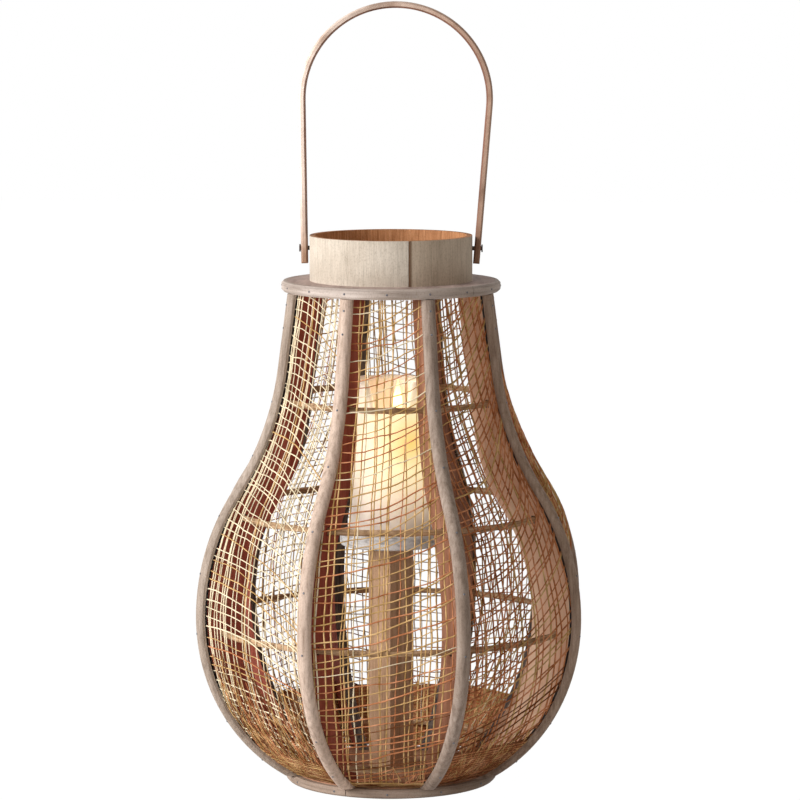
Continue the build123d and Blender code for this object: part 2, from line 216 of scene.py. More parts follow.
def rib_radius(inset, height):
    """Distance from the axis to the rib line, moved in by inset, at a height."""
    belly = BELLY_RADIUS - inset
    if height < BELLY_HEIGHT:
        bowl = BOWL_RADIUS - inset
        return belly - bowl + sqrt(bowl**2 - (BELLY_HEIGHT - height) ** 2)
    shoulder = SHOULDER_RADIUS - inset
    if height < BELLY_HEIGHT + shoulder * sin(SHOULDER_TURN):
        return belly - shoulder + sqrt(shoulder**2 - (height - BELLY_HEIGHT) ** 2)
    flare = FLARE_RADIUS + inset
    reach = shoulder + flare
    centre_radius = belly - shoulder + reach * cos(SHOULDER_TURN)
    centre_height = BELLY_HEIGHT + reach * sin(SHOULDER_TURN)
    flare_end = centre_height - flare * sin(RIB_LEAN)
    if height < flare_end:
        return centre_radius - sqrt(flare**2 - (centre_height - height) ** 2)
    end_radius = centre_radius - flare * cos(RIB_LEAN)
    return end_radius - (height - flare_end) * tan(RIB_LEAN)


def drift(track, along):
    """A smooth stray value about zero, the same on every run."""
    return noise.noise(Vector((track * TRACK_STEP_X, along, track * TRACK_STEP_Z)))


def ring(centre, side, lift, sides):
    """Points round a centre, from one direction towards another, both as long as the radius."""
    points = []
    for step in range(sides):
        angle = 2 * pi * step / sides
        points.append(centre + side * cos(angle) + lift * sin(angle))
    return points


def between_rings(low, high, sides):
    """The faces between two rings of points, each given by its first point."""
    faces = []
    for step in range(sides):
        ahead = (step + 1) % sides
        faces.append((low + step, low + ahead, high + ahead, high + step))
    return faces


def tube_faces(first, rings, sides):
    """The faces round rings of points that follow each other, with both ends closed."""
    faces = []
    for index in range(rings - 1):
        low = first + index * sides
        faces += between_rings(low, low + sides, sides)
    last = first + (rings - 1) * sides
    faces.append(tuple(range(first, first + sides)))
    faces.append(tuple(range(last, last + sides)))
    return faces


class Tubes:
    """Gathers closed tubes of a few sides for one mesh."""

    def __init__(self, sides=5):
        self.sides = sides
        self.points = []
        self.faces = []
        self.slots = []

    def add(self, path, outward, radius, slot):
        first = len(self.points)
        last = len(path) - 1
        for index, point in enumerate(path):
            along = (path[min(index + 1, last)] - path[max(index - 1, 0)]).normalized()
            side = along.cross(outward).normalized() * radius
            self.points += ring(point, side, side.cross(along), self.sides)
        faces = tube_faces(first, len(path), self.sides)
        self.faces += faces
        self.slots += [slot] * len(faces)

    def build(self, name, materials):
        return new_piece(name, self.points, self.faces, materials, self.slots)


def new_piece(name, points, faces, materials, slots=None):
    """A smooth-shaded mesh object with its faces turned outwards."""
    mesh = bpy.data.meshes.new(name)
    mesh.from_pydata(points, [], faces)
    for material in materials:
        mesh.materials.append(material)
    if slots:
        mesh.polygons.foreach_set("material_index", slots)
    shape = bmesh.new()
    shape.from_mesh(mesh)
    bmesh.ops.recalc_face_normals(shape, faces=shape.faces)
    shape.to_mesh(mesh)
    shape.free()
    mesh.polygons.foreach_set("use_smooth", [True] * len(mesh.polygons))
    piece = bpy.data.objects.new(name, mesh)
    bpy.context.scene.collection.objects.link(piece)
    return piece


def new_material(name):
    """A material with nodes, its node tree and its Principled shader."""
    material = bpy.data.materials.new(name)
    material.use_nodes = True
    tree = material.node_tree
    return material, tree, tree.nodes["Principled BSDF"]


def set_inputs(tree, node, inputs):
    """Links each input, by name or number, to a socket or sets it to a plain value."""
    for name, value in inputs.items():
        if isinstance(value, bpy.types.NodeSocket):
            tree.links.new(value, node.inputs[name])
        else:
            node.inputs[name].default_value = value


def add_node(tree, kind, inputs=None):
    """A new shader node, with some of its inputs linked or set."""
    node = tree.nodes.new("ShaderNode" + kind)
    set_inputs(tree, node, inputs or {})
    return node


def calculate(tree, kind, operation, *values):
    """The outputs of a Math or VectorMath node on sockets or plain values."""
    node = add_node(tree, kind)
    node.operation = operation
    set_inputs(tree, node, dict(enumerate(values)))
    return node.outputs


def frame_place(tree):
    """Places in the frame's own coordinates."""
    return add_node(tree, "TexCoord").outputs["Object"]


def stray(tree, stretch, detail=4.0, rough=0.55):
    """Noise in the frame's own coordinates, with its grain drawn out by stretch."""
    drawn = add_node(tree, "Mapping", {"Vector": frame_place(tree), "Scale": stretch})
    grain = {"Vector": drawn.outputs["Vector"], "Scale": 1.0, "Detail": detail, "Roughness": rough}
    return add_node(tree, "TexNoise", grain).outputs["Fac"]


def ramp(tree, factor, *stops):
    """A colour ramp of (place, colour) stops."""
    node = add_node(tree, "ValToRGB", {"Fac": factor})
    elements = node.color_ramp.elements
    while len(elements) < len(stops):
        elements.new(0.5)
    for element, (place, colour) in zip(elements, stops):
        element.position = place
        element.color = colour
    return node.outputs["Color"]


def blend(tree, factor, first, second, kind="MIX"):
    """Two colours mixed by a factor, which may be a number."""
    node = add_node(tree, "Mix")
    node.data_type = "RGBA"
    node.blend_type = kind
    set_inputs(tree, node, {0: factor, 6: first, 7: second})
    return node.outputs[2]


def facing(tree, way, normal):
    """How closely a surface faces along a direction, from -1 to 1."""
    level = calculate(tree, "VectorMath", "NORMALIZE", way)["Vector"]
    return calculate(tree, "VectorMath", "DOT_PRODUCT", level, normal)["Value"]


def span(tree, value, low, high):
    """A value as a share of the way from low to high."""
    limits = {"Value": value, "From Min": low, "From Max": high}
    return add_node(tree, "MapRange", limits).outputs["Result"]


def axis_share(tree, axis, low, high):
    """A place along an axis of the frame as a share of the way from low to high."""
    parts = add_node(tree, "SeparateXYZ", {"Vector": frame_place(tree)})
    return span(tree, parts.outputs[axis], low, high)


def coat(tree, shader, colour, roughness, gloss):
    """Colour, roughness and gloss of a surface."""
    surface = {"Base Color": colour, "Roughness": roughness, "Specular IOR Level": gloss}
    set_inputs(tree, shader, surface)


def roughen(tree, shader, height, depth, strength=0.6):
    """Bump from a height, with a depth in metres."""
    bump = add_node(tree, "Bump", {"Height": height, "Distance": depth, "Strength": strength})
    set_inputs(tree, shader, {"Normal": bump.outputs["Normal"]})


def speckle(tree, colour):
    """A colour with the small dark specks of weathered wood."""
    specks = stray(tree, (900, 900, 560), detail=3.0, rough=0.6)
    worn = ramp(tree, specks, (0.30, (0.80, 0.77, 0.74, 1)), (0.50, WHITE))
    return blend(tree, 1.0, colour, worn, "MULTIPLY")


def streaky(tree, streaks, tones):
    """Dark, middle and pale tones along a grain."""
    return ramp(tree, streaks, *zip((0.3, 0.5, 0.7), tones))


def wood(name, tones, grain, stain, depth=0.0003):
    """Wood or cane: streaks along the grain, broad stains across it, specks and a fine bump."""
    material, tree, shader = new_material(name)
    streaks = stray(tree, grain, detail=6.0, rough=0.65)
    blotches = stray(tree, stain, detail=3.0)
    shade = ramp(tree, blotches, (0.35, (0.78, 0.75, 0.72, 1)), (0.65, WHITE))
    colour = blend(tree, 0.75, streaky(tree, streaks, tones), shade, "MULTIPLY")
    coat(tree, shader, speckle(tree, colour), roughness=0.7, gloss=0.25)
    roughen(tree, shader, streaks, depth)
    return material


def board_wood(name, shaded_right_tones, lit_left_tones):
    """Plywood with grey sawn edges; faces turned right get painted shade, faces turned left painted
    light.
    """
    material, tree, shader = new_material(name)
    up = (0, 0, 1)
    surface = add_node(tree, "NewGeometry").outputs
    leftward = calculate(tree, "VectorMath", "CROSS_PRODUCT", surface["Position"], up)["Vector"]
    turn = span(tree, facing(tree, leftward, surface["True Normal"]), -1.0, 1.0)
    streaks = stray(tree, (60, 60, 7), detail=6.0, rough=0.7)
    plies = stray(tree, (420, 420, 20), detail=2.0)
    # Painted light and shade: the red tones go on faces turned right, the pale tones on faces
    # turned left
    red = streaky(tree, streaks, shaded_right_tones)
    pale = streaky(tree, streaks, lit_left_tones)
    edge = ramp(tree, plies, (0.35, tone(70, 60, 58)), (0.6, tone(118, 106, 98)))
    off_shaded_face = ramp(tree, turn, (0.22, BLACK), (0.28, WHITE))
    on_lit_face = ramp(tree, turn, (0.72, BLACK), (0.78, WHITE))
    colour = blend(tree, on_lit_face, blend(tree, off_shaded_face, red, edge), pale)
    coat(tree, shader, colour, roughness=0.75, gloss=0.2)
    roughen(tree, shader, streaks, 0.0005)
    return material


def bail_wood(tones):
    """Split cane: painted shade towards the right and low by the rivets; darker on faces into the
    loop.
    """
    loop_middle = (0.0, 0.0, 0.60)
    leg_reach = 0.09
    leg_foot = 0.485
    painted_shade_top = 0.545
    material, tree, shader = new_material("bail_cane")
    streaks = stray(tree, (16, 300, 16), detail=6.0, rough=0.65)
    knots = stray(tree, (34, 34, 34), detail=3.0)
    surface = add_node(tree, "TexCoord").outputs
    away = calculate(tree, "VectorMath", "SUBTRACT", surface["Object"], loop_middle)["Vector"]
    turn = span(tree, facing(tree, away, surface["Normal"]), -1.0, 1.0)
    side = axis_share(tree, "X", -leg_reach, leg_reach)
    rise = axis_share(tree, "Z", leg_foot, painted_shade_top)
    colour = streaky(tree, streaks, tones)
    # Painted shade to the right and low on the legs; darker on faces into the loop; the knots are
    # the cane's own marks
    for share, *stops in (
        (side, (0.25, WHITE), (0.85, (0.57, 0.45, 0.38, 1))),
        (turn, (0.15, tone(160, 122, 106)), (0.42, WHITE)),
        (knots, (0.34, (0.66, 0.58, 0.52, 1)), (0.52, WHITE)),
        (rise, (0.0, (0.62, 0.50, 0.42, 1)), (1.0, WHITE)),
    ):
        colour = blend(tree, 0.95, colour, ramp(tree, share, *stops), "MULTIPLY")
    coat(tree, shader, colour, roughness=0.6, gloss=0.25)
    roughen(tree, shader, streaks, 0.0003)
    return material


def collar_wood(outer_tones, inner_tones):
    """Bent wood, warm brown inside, grey-beige outside and darker where the strip starts."""
    material, tree, shader = new_material("collar_bentwood")
    streaks = stray(tree, (620, 620, 40), detail=6.0, rough=0.75)
    blotches = stray(tree, (16, 16, 26), detail=3.0)
    weathered = streaky(tree, streaks, outer_tones)
    warm = streaky(tree, streaks, inner_tones)
    shade = ramp(tree, blotches, (0.35, (0.80, 0.77, 0.74, 1)), (0.65, WHITE))
    from_seam = {"Vector": frame_place(tree), "Rotation": (0, 0, pi - COLLAR_SEAM)}
    turn = add_node(tree, "Mapping", from_seam)
    around = add_node(tree, "TexGradient", {"Vector": turn.outputs["Vector"]})
    around.gradient_type = "RADIAL"
    strip = ramp(
        tree,
        around.outputs["Fac"],
        (0.0, (0.26, 0.18, 0.13, 1)),
        (0.005, (0.34, 0.25, 0.19, 1)),
        (0.008, (0.91, 0.84, 0.77, 1)),
        (0.22, (0.97, 0.93, 0.89, 1)),
        (0.9, WHITE),
    )
    surface = add_node(tree, "NewGeometry").outputs
    outward = calculate(tree, "VectorMath", "MULTIPLY", surface["Position"], (1, 1, 0))["Vector"]
    away = facing(tree, outward, surface["True Normal"])
    outside = ramp(tree, away, (0.0, BLACK), (0.05, WHITE))
    body = blend(tree, outside, warm, blend(tree, 1.0, weathered, strip, "MULTIPLY"))
    colour = speckle(tree, blend(tree, 0.8, body, shade, "MULTIPLY"))
    coat(tree, shader, colour, roughness=0.75, gloss=0.2)
    roughen(tree, shader, streaks, 0.0004)
    return material


def fibre(name, tones):
    """Plant fibre, whose colour changes along and between threads."""
    material, tree, shader = new_material(name)
    patches = stray(tree, (55, 55, 55), detail=3.0, rough=0.7)
    fine = stray(tree, (700, 700, 180), detail=2.0)
    coat(tree, shader, streaky(tree, patches, tones), roughness=0.9, gloss=0.08)
    roughen(tree, shader, fine, 0.0002)
    return material


def metal(name, dark, pale, metallic, roughness):
    """Small steel pieces with specks of rust."""
    material, tree, shader = new_material(name)
    specks = stray(tree, (900, 900, 900), detail=3.0, rough=0.7)
    colour = ramp(tree, specks, (0.4, dark), (0.65, pale))
    surface = {"Base Color": colour, "Roughness": roughness, "Metallic": metallic}
    set_inputs(tree, shader, surface)
    return material


def wax_material(colour, low, high):
    """Ivory wax with painted light: a glow and an orange tint round the place in front of the
    flame.
    """
    glow_reach = 0.085
    glow_centre = (0.020, -0.034, low + 0.60 * (high - low))
    material, tree, shader = new_material("candle_wax_glow")
    mottle = stray(tree, (70, 70, 40), detail=3.0)
    dull, ivory = shades(colour, 20, 0)[:2]
    body = ramp(tree, mottle, (0.35, dull), (0.65, ivory))
    away = calculate(tree, "VectorMath", "DISTANCE", frame_place(tree), glow_centre)["Value"]
    share = span(tree, away, 0.0, glow_reach)
    # Painted light: emission round the place in front of the flame, faint lower down
    glow = ramp(
        tree,
        share,
        (0.0, tone(255, 206, 108)),
        (0.3, tone(255, 234, 180)),
        (0.6, tone(216, 193, 162)),
        (1.0, tone(40, 30, 24)),
    )
    # Painted light: the base colour turns orange near the flame
    tint = ramp(tree, share, (0.0, (1, 0.80, 0.42, 1)), (0.4, (1, 0.93, 0.76, 1)), (0.8, WHITE))
    surface = {
        "Base Color": blend(tree, 1.0, body, tint, "MULTIPLY"),
        "Roughness": 0.45,
        "Subsurface Weight": 0.2,
        "Subsurface Radius": (0.02, 0.01, 0.005),
        "Emission Color": glow,
        "Emission Strength": 0.9,
    }
    set_inputs(tree, shader, surface)
    roughen(tree, shader, mottle, 0.0006, 0.3)
    return material


def flame_material(low, high):
    """A flame, amber at its foot and white-yellow above."""
    material, tree, shader = new_material("candle_flame_glow")
    share = axis_share(tree, "Z", low, high)
    foot, heart, tip = tone(255, 150, 50), tone(255, 230, 160), tone(255, 206, 104)
    colour = ramp(tree, share, (0.0, foot), (0.35, heart), (1.0, tip))
    glow = {"Emission Color": colour, "Emission Strength": 3.0}
    set_inputs(tree, shader, {"Base Color": colour, "Roughness": 0.6, **glow})
    return material


def dress(material, *names):
    """Gives CAD nodes a material."""
    for name in names:
        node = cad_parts[name]
        if not node.material_slots:
            node.data.materials.append(material)
        for place in node.material_slots:
            place.material = material


def panel_frame(index):
    """Outward and rightward directions of a panel, seen from outside."""
    azimuth = 2 * HALF_STEP * index
    outward = Vector((cos(azimuth), sin(azimuth), 0))
    return outward, Vector((-sin(azimuth), cos(azimuth), 0))


def even_heights(low, high, pitch):
    """Heights whose places along the panel's curve are a pitch apart."""
    nudge = 0.001
    heights = []
    height = low
    while height < high:
        heights.append(height)
        slope = (rib_radius(MESH_LINE, height + nudge) - rib_radius(MESH_LINE, height)) / nudge
        height += pitch / sqrt(1 + (slope * cos(HALF_STEP)) ** 2)
    return heights


def half_width(height):
    """From the middle of a panel to its edge under the batten."""
    edge_gap = 0.0025
    return rib_radius(MESH_LINE, height) * sin(HALF_STEP) - edge_gap


def net_point(index, across, height, lift=0.0):
    """A point of a panel's net, a distance to the right of its middle."""
    neck_low = 0.210
    neck_high = 0.435
    skew = 0.63
    outward, right = panel_frame(index)
    out = rib_radius(MESH_LINE, height) * cos(HALF_STEP) + lift
    if neck_low < height < neck_high:
        rise = sin(pi * ((height - neck_low) / (neck_high - neck_low)) ** skew)
        out += NECK_BRIDGE[index] * rise * (1 - (across / half_width(height)) ** 2)
    return outward * out + right * across + Vector((0, 0, height))


def fibre_slot(index, chance):
    """Which fibre a thread of a panel has: 0 cream, 1 gold or 2 russet."""
    draw = chance.random()
    if draw < CREAM_SHARE[index]:
        return 0
    return 1 if draw < CREAM_SHARE[index] + GOLD_SHARE[index] else 2


def add_warps(tubes, index, settings, heights, chance):
    """The upright fibres, some of them in pairs, each ending where it meets the panel's edge."""
    place_stray = 0.3
    twin_chance = 0.25
    twin_gap = (1.3, 2.2)
    lean_stray = 0.015
    slow_pace = 16
    quick_pace = 60
    quick_share = 0.4
    gather = 0.12
    girth = (0.75, 1.2)
    lift = -0.0003
    outward = panel_frame(index)[0]
    slant = WARP_LEAN[index]
    widest = half_width(BELLY_HEIGHT) + abs(slant) * (heights[-1] - BELLY_HEIGHT)
    count = int(2 * widest / settings.warp_pitch)
    for warp in range(count):
        base = (2 * warp + 1 - count) * settings.warp_pitch / 2
        base += chance.uniform(-place_stray, place_stray) * settings.warp_pitch
        twins = 2 if chance.random() < twin_chance else 1
        for twin in range(twins):
            track = chance.uniform(0, LAST_TRACK)
            shift = twin * chance.uniform(*twin_gap) * settings.thread_diameter
            lean = slant + chance.uniform(-lean_stray, lean_stray)
            runs = [[]]
            for height in heights:
                rise = height - BELLY_HEIGHT
                sway = drift(track, rise * slow_pace)
                sway += quick_share * drift(track, rise * quick_pace)
                across = (base + shift) * (1 - gather * abs(rise) / BELLY_HEIGHT)
                across += lean * rise + settings.wobble * sway
                if abs(across) < half_width(height):
                    runs[-1].append(net_point(index, across, height, lift))
                elif runs[-1]:
                    runs.append([])
            radius = settings.thread_diameter / 2 * FIBRE_GIRTH[index] * chance.uniform(*girth)
            slot = fibre_slot(index, chance)
            for path in runs:
                if len(path) > 2:
                    tubes.add(path, outward, radius, slot)


def add_wefts(tubes, index, settings, low, high, chance):
    """The cross fibres, which climb to one side and stray more than the warps."""
    steps = 18
    overrun = 0.03
    climb_stray = 0.06
    curl = 0.4
    slow_pace = 1.4
    quick_pace = 5
    quick_share = 0.3
    wobble_gain = 1.6
    girth = (0.7, 1.15)
    lift = 0.0005
    browner_below_height = 0.085
    pale_panel = 0.5
    outward = panel_frame(index)[0]
    for middle in even_heights(low, high + overrun, settings.weft_pitch):
        track = chance.uniform(0, LAST_TRACK)
        part = (middle - low) / (high - low)
        climb = FOOT_CLIMB[index] + (HEAD_CLIMB[index] - FOOT_CLIMB[index]) * part
        climb += chance.uniform(-climb_stray, climb_stray)
        reach = half_width(middle)
        path = []
        for step in range(steps + 1):
            share = 2 * step / steps - 1
            sway = drift(track, share * slow_pace)
            sway += quick_share * drift(track, share * quick_pace)
            height = middle + climb * reach * (share + curl * share**2)
            height += wobble_gain * settings.wobble * sway
            if low <= height <= high:
                path.append(net_point(index, share * half_width(height), height, lift))
        if len(path) > 2:
            radius = settings.thread_diameter / 2 * FIBRE_GIRTH[index] * chance.uniform(*girth)
            slot = fibre_slot(index, chance)
            # Cross fibres low on the darker panels turn browner, darker towards the foot
            if middle < browner_below_height and CREAM_SHARE[index] < pale_panel:
                slot = max(slot, 1) + 1
            tubes.add(path, outward, radius, slot)


def add_hem(tubes, index, low, chance):
    """Cross fibres packed close over the foot of a panel."""
    steps = 14
    pitch = 0.0012
    most_tilt = 0.00048
    row_stray = 0.0007
    row_pace = 3
    radii = (0.0007, 0.0010)
    lift = 0.0010
    outward = panel_frame(index)[0]
    common, third = HEM_FIBRES[index]
    for row, level in enumerate(even_heights(low, low + HEM_HEIGHT[index], pitch)):
        track = chance.uniform(0, LAST_TRACK)
        tilt = chance.uniform(-most_tilt, most_tilt)
        path = []
        for step in range(steps + 1):
            share = 2 * step / steps - 1
            height = level + row_stray * drift(track, share * row_pace) + tilt * share
            if height >= low:
                path.append(net_point(index, share * half_width(height), height, lift))
        if len(path) > 2:
            tubes.add(path, outward, chance.uniform(*radii), common if row % 3 else third)


def add_frays(tubes, index, low, chance):
    """Loose ends gathered at the foot of a panel."""
    steps = 5
    edge = 0.97
    most_lean = 0.3
    foot_share = 0.6
    shortest = 0.012
    rise_share = 0.4
    place_stray = 0.03
    place_pace = 0.7
    radii = (0.00025, 0.00045)
    lift = 0.0014
    lift_stray = 0.0012
    outward = panel_frame(index)[0]
    for end in range(FRAY_COUNT[index]):
        share = chance.uniform(-edge, edge)
        lean = chance.uniform(-most_lean, most_lean)
        foot = low + chance.random() ** 2 * foot_share * FRAY_REACH[index]
        rise = chance.uniform(shortest, rise_share * FRAY_REACH[index] + shortest)
        track = chance.uniform(0, LAST_TRACK)
        path = []
        for step in range(steps + 1):
            part = step / steps
            height = foot + rise * part
            place = share + lean * part + place_stray * drift(track, step * place_pace)
            place = max(-1, min(1, place))
            out = lift + lift_stray * abs(drift(track, step))
            path.append(net_point(index, place * half_width(height), height, out))
        tubes.add(path, outward, chance.uniform(*radii), 1 + end % 3)


def flat_size(index, heights):
    """Width, length and area of a panel laid flat."""
    width = 0.0
    length = 0.0
    area = 0.0
    for low, high in zip(heights, heights[1:]):
        middle = net_point(index, 0, low)
        along = (net_point(index, 0, high) - middle).length
        width = max(width, 2 * half_width(low))
        length += along
        area += 2 * half_width(low) * along
    return width, length, area


class LANTERN_OT_weave(bpy.types.Operator):
    """Weaves the eight fibre panels thread by thread"""

    bl_idname = "lantern.weave"
    bl_label = "Weave panels"

    def execute(self, context):
        settings = context.scene.lantern_weave
        cream = fibre("fibre_cream", shades(settings.cream, 42, 17))
        gold = fibre("fibre_gold", shades(settings.gold, 45, 30))
        russet = fibre("fibre_russet", shades(settings.russet, 44, 37))
        brown = fibre("fibre_brown", shades(settings.brown, 30, 31))
        margin = 0.001
        warp_step = 0.008
        for index, node in enumerate(PANELS):
            chance = random.Random(settings.seed + index)
            lowest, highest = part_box(node)
            low = lowest.z + margin
            high = highest.z - margin
            heights = even_heights(low, high, warp_step) + [high]
            tubes = Tubes()
            add_warps(tubes, index, settings, heights, chance)
            add_wefts(tubes, index, settings, low, high, chance)
            add_hem(tubes, index, low, chance)
            add_frays(tubes, index, low, chance)
            net = tubes.build("fibre_net_" + str(index + 1), [cream, gold, russet, brown])
            width, length, area = flat_size(index, heights)
            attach(net, ROOT)
            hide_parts(node)
        return {"FINISHED"}


class LANTERN_OT_ribs(bpy.types.Operator):
    """Gives the rib boards and battens their wood"""

    bl_idname = "lantern.ribs"
    bl_label = "Dress ribs"

    def execute(self, context):
        settings = context.scene.lantern_wood
        # Painted shade for faces turned right, and two painted-light copies for faces turned left:
        # brown dimmer, salmon brighter
        red = shades(settings.shaded_board_face, 27, 24)
        brown = board_wood("board_painted_lit_brown", red, shades(settings.lit_board_face_brown, 31, 23))
        salmon = board_wood("board_painted_lit_salmon", red, shades(settings.lit_board_face_salmon, 39, 16))
        lit_tone_per_board = (salmon, brown, salmon, brown, salmon, brown, brown, salmon)
        for board, plywood in zip(BOARDS, lit_tone_per_board):
            dress(plywood, board)
        grain = (300, 300, 24)
        stain = (34, 34, 7)
        fine = 0.00015
        # Painted light and shade: each batten's tone follows its side, pale at the left and dark at
        # the right
        beige = wood("batten_beige", shades(settings.beige_batten, 29, 21), grain, stain, fine)
        rose = wood("batten_rose", shades(settings.rose_batten, 41, 21), grain, stain, fine)
        taupe = wood("batten_taupe", shades(settings.taupe_batten, 32, 22), grain, stain, fine)
        grey = wood("batten_grey", shades(settings.grey_batten, 34, 22), grain, stain, fine)
        for node, cane in zip(BATTENS, (taupe, grey, rose, beige, beige, rose, grey, taupe)):
            dress(cane, node)
        return {"FINISHED"}


class LANTERN_OT_ends(bpy.types.Operator):
    """Gives the base, top plate, bands and collar their wood"""

    bl_idname = "lantern.ends"
    bl_label = "Dress base and top"

    def execute(self, context):
        settings = context.scene.lantern_wood
        level = (14, 14, 260)
        stain = (26, 26, 40)
        base = wood("base_plywood_grain", shades(settings.base, 35, 28), (90, 12, 90), stain)
        # Painted shade: the foot band is a darker copy of the band cane
        foot = wood("foot_band_cane", shades(settings.foot_band, 33, 20), level, stain)
        band = wood("band_cane", shades(settings.top_band, 38, 21), level, stain)
        plate = wood("flange_wood_grain", shades(settings.top_plate, 38, 22), (80, 12, 80), stain)
        weathered = shades(settings.collar_outside, 25, 16)
        warm = shades(settings.collar_inside, 41, 27)
        dress(base, "base_disc")
        dress(foot, "base_band")
        dress(band, "top_band")
        dress(plate, "top_plate")
        dress(collar_wood(weathered, warm), "collar_hoop")
        return {"FINISHED"}


class LANTERN_OT_bail(bpy.types.Operator):
    """Gives the bail its cane and its rivets their steel"""

    bl_idname = "lantern.bail"
    bl_label = "Dress bail"

    def execute(self, context):
        dress(bail_wood(shades(context.scene.lantern_wood.bail, 61, 25)), "bail_handle")
        steel = metal("rivet_dull_steel", tone(48, 36, 30), tone(98, 78, 66), 0.4, 0.55)
        dress(steel, "bail_rivets")
        return {"FINISHED"}


class LANTERN_OT_pedestal(bpy.types.Operator):
    """Gives the post, candle plate and screws their materials"""

    bl_idname = "lantern.pedestal"
    bl_label = "Dress pedestal"

    def execute(self, context):
        settings = context.scene.lantern_wood
        stain = (30, 30, 18)
        timber = wood("post_timber", shades(settings.post, 54, 27), (150, 150, 8), stain)
        painted = wood("plate_paint", shades(settings.plate, 80, 19), (90, 90, 420), stain)
        dress(timber, "pedestal_post")
        dress(painted, "candle_plate")
        steel = metal("screw_steel", tone(90, 84, 78), tone(140, 132, 124), 0.7, 0.45)
        dress(steel, "pedestal_screws")
        return {"FINISHED"}


def uneven_ring(name, lowest, highest, depth, amount, track, material):
    """A hoop of split cane, round at its corners and uneven along its length."""
    turns = 180
    corners = 10
    swell_pace = 9
    grit_pace = 6
    grit_share = 0.12
    outer = (highest.x - lowest.x) / 2
    middle = (highest.z + lowest.z) / 2
    half_height = (highest.z - lowest.z) / 2
    points = []
    faces = []
    for turn in range(turns):
        angle = 2 * pi * turn / turns
        spot = Vector((cos(angle), sin(angle), 0)) * swell_pace
        swell = 1 - amount / half_height * (0.5 + noise.noise(spot + Vector((0, 0, track))))
        for corner in range(corners):
            lean = 2 * pi * corner / corners
            across = cos(lean)
            up = sin(lean)
            square = 1 / sqrt(max(abs(across), abs(up)))
            grit = 1 + grit_share * noise.noise(spot * grit_pace + Vector((across, up, track)))
            radius = outer - depth / 2 + depth / 2 * across * square * swell * grit
            height = middle + half_height * up * square * swell * grit
            points.append((radius * cos(angle), radius * sin(angle), height))
        ahead = (turn + 1) % turns
        faces += between_rings(turn * corners, ahead * corners, corners)
    return new_piece(name, points, faces, [material])


class LANTERN_OT_hoops(bpy.types.Operator):
    """Makes the four hoops of split cane"""

    bl_idname = "lantern.hoops"
    bl_label = "Make hoops"

    def execute(self, context):
        settings = context.scene.lantern_cane
        hoop_depth = 0.004
        track_step = 3.7
        grain = (24, 24, 420)
        stain = (45, 45, 45)
        cane = wood("hoop_split_cane", shades(settings.hoop, 53, 41), grain, stain)
        for track, node in enumerate(HOOPS):
            lowest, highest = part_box(node)
            amount = settings.hoop_unevenness
            hoop = uneven_ring(
                node + "_cane", lowest, highest, hoop_depth, amount, track * track_step, cane
            )
            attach(hoop, ROOT)
            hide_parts(node)
        return {"FINISHED"}


def islands(mesh):
    """The points of each separate solid in a mesh."""
    same_place = 1e-6
    shape = bmesh.new()
    shape.from_mesh(mesh)
    bmesh.ops.remove_doubles(shape, verts=shape.verts, dist=same_place)
    seen = set()
    groups = []
    for start in shape.verts:
        if start in seen:
            continue
        seen.add(start)
        reached = [start]
        for vertex in reached:
            for edge in vertex.link_edges:
                other = edge.other_vert(vertex)
                if other not in seen:
                    seen.add(other)
                    reached.append(other)
        groups.append([vertex.co.copy() for vertex in reached])
    shape.free()
    return groups


def nail_heads(name, node, radius, material):
    """A domed head on the outer end of every brad of a CAD node."""
    sides = 10
    # Share of the radius, and height over the brad's end
    levels = ((1.0, -0.0008), (1.0, -0.0001), (0.8, 0.0001), (0.45, 0.0002))
    points = []
    faces = []
    for group in islands(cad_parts[node].data):
        ordered = sorted(group, key=lambda point: Vector((point.x, point.y, 0)).length)
        half = len(ordered) // 2
        inner = sum(ordered[:half], Vector()) / half
        outer = sum(ordered[half:], Vector()) / (len(ordered) - half)
        axis = (outer - inner).normalized()
        side = axis.orthogonal().normalized()
        cross = axis.cross(side)
        first = len(points)
        for share, lift in levels:
            reach = radius * share
            points += ring(outer + axis * lift, side * reach, cross * reach, sides)
        faces += tube_faces(first, len(levels), sides)
    piece = new_piece(name, points, faces, [material])
    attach(piece, ROOT)
    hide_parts(node)


class LANTERN_OT_nails(bpy.types.Operator):
    """Puts domed heads on the brads"""

    bl_idname = "lantern.nails"
    bl_label = "Make nail heads"

    def execute(self, context):
        radius = context.scene.lantern_cane.nail_radius
        steel = metal("brad_dark_steel", tone(66, 64, 68), tone(140, 140, 146), 0.4, 0.5)
        nail_heads("rib_nail_heads", "rib_brads", radius, steel)
        nail_heads("top_nail_heads", "top_band_brads", radius, steel)
        nail_heads("base_nail_heads", "base_band_brads", radius, steel)
        return {"FINISHED"}


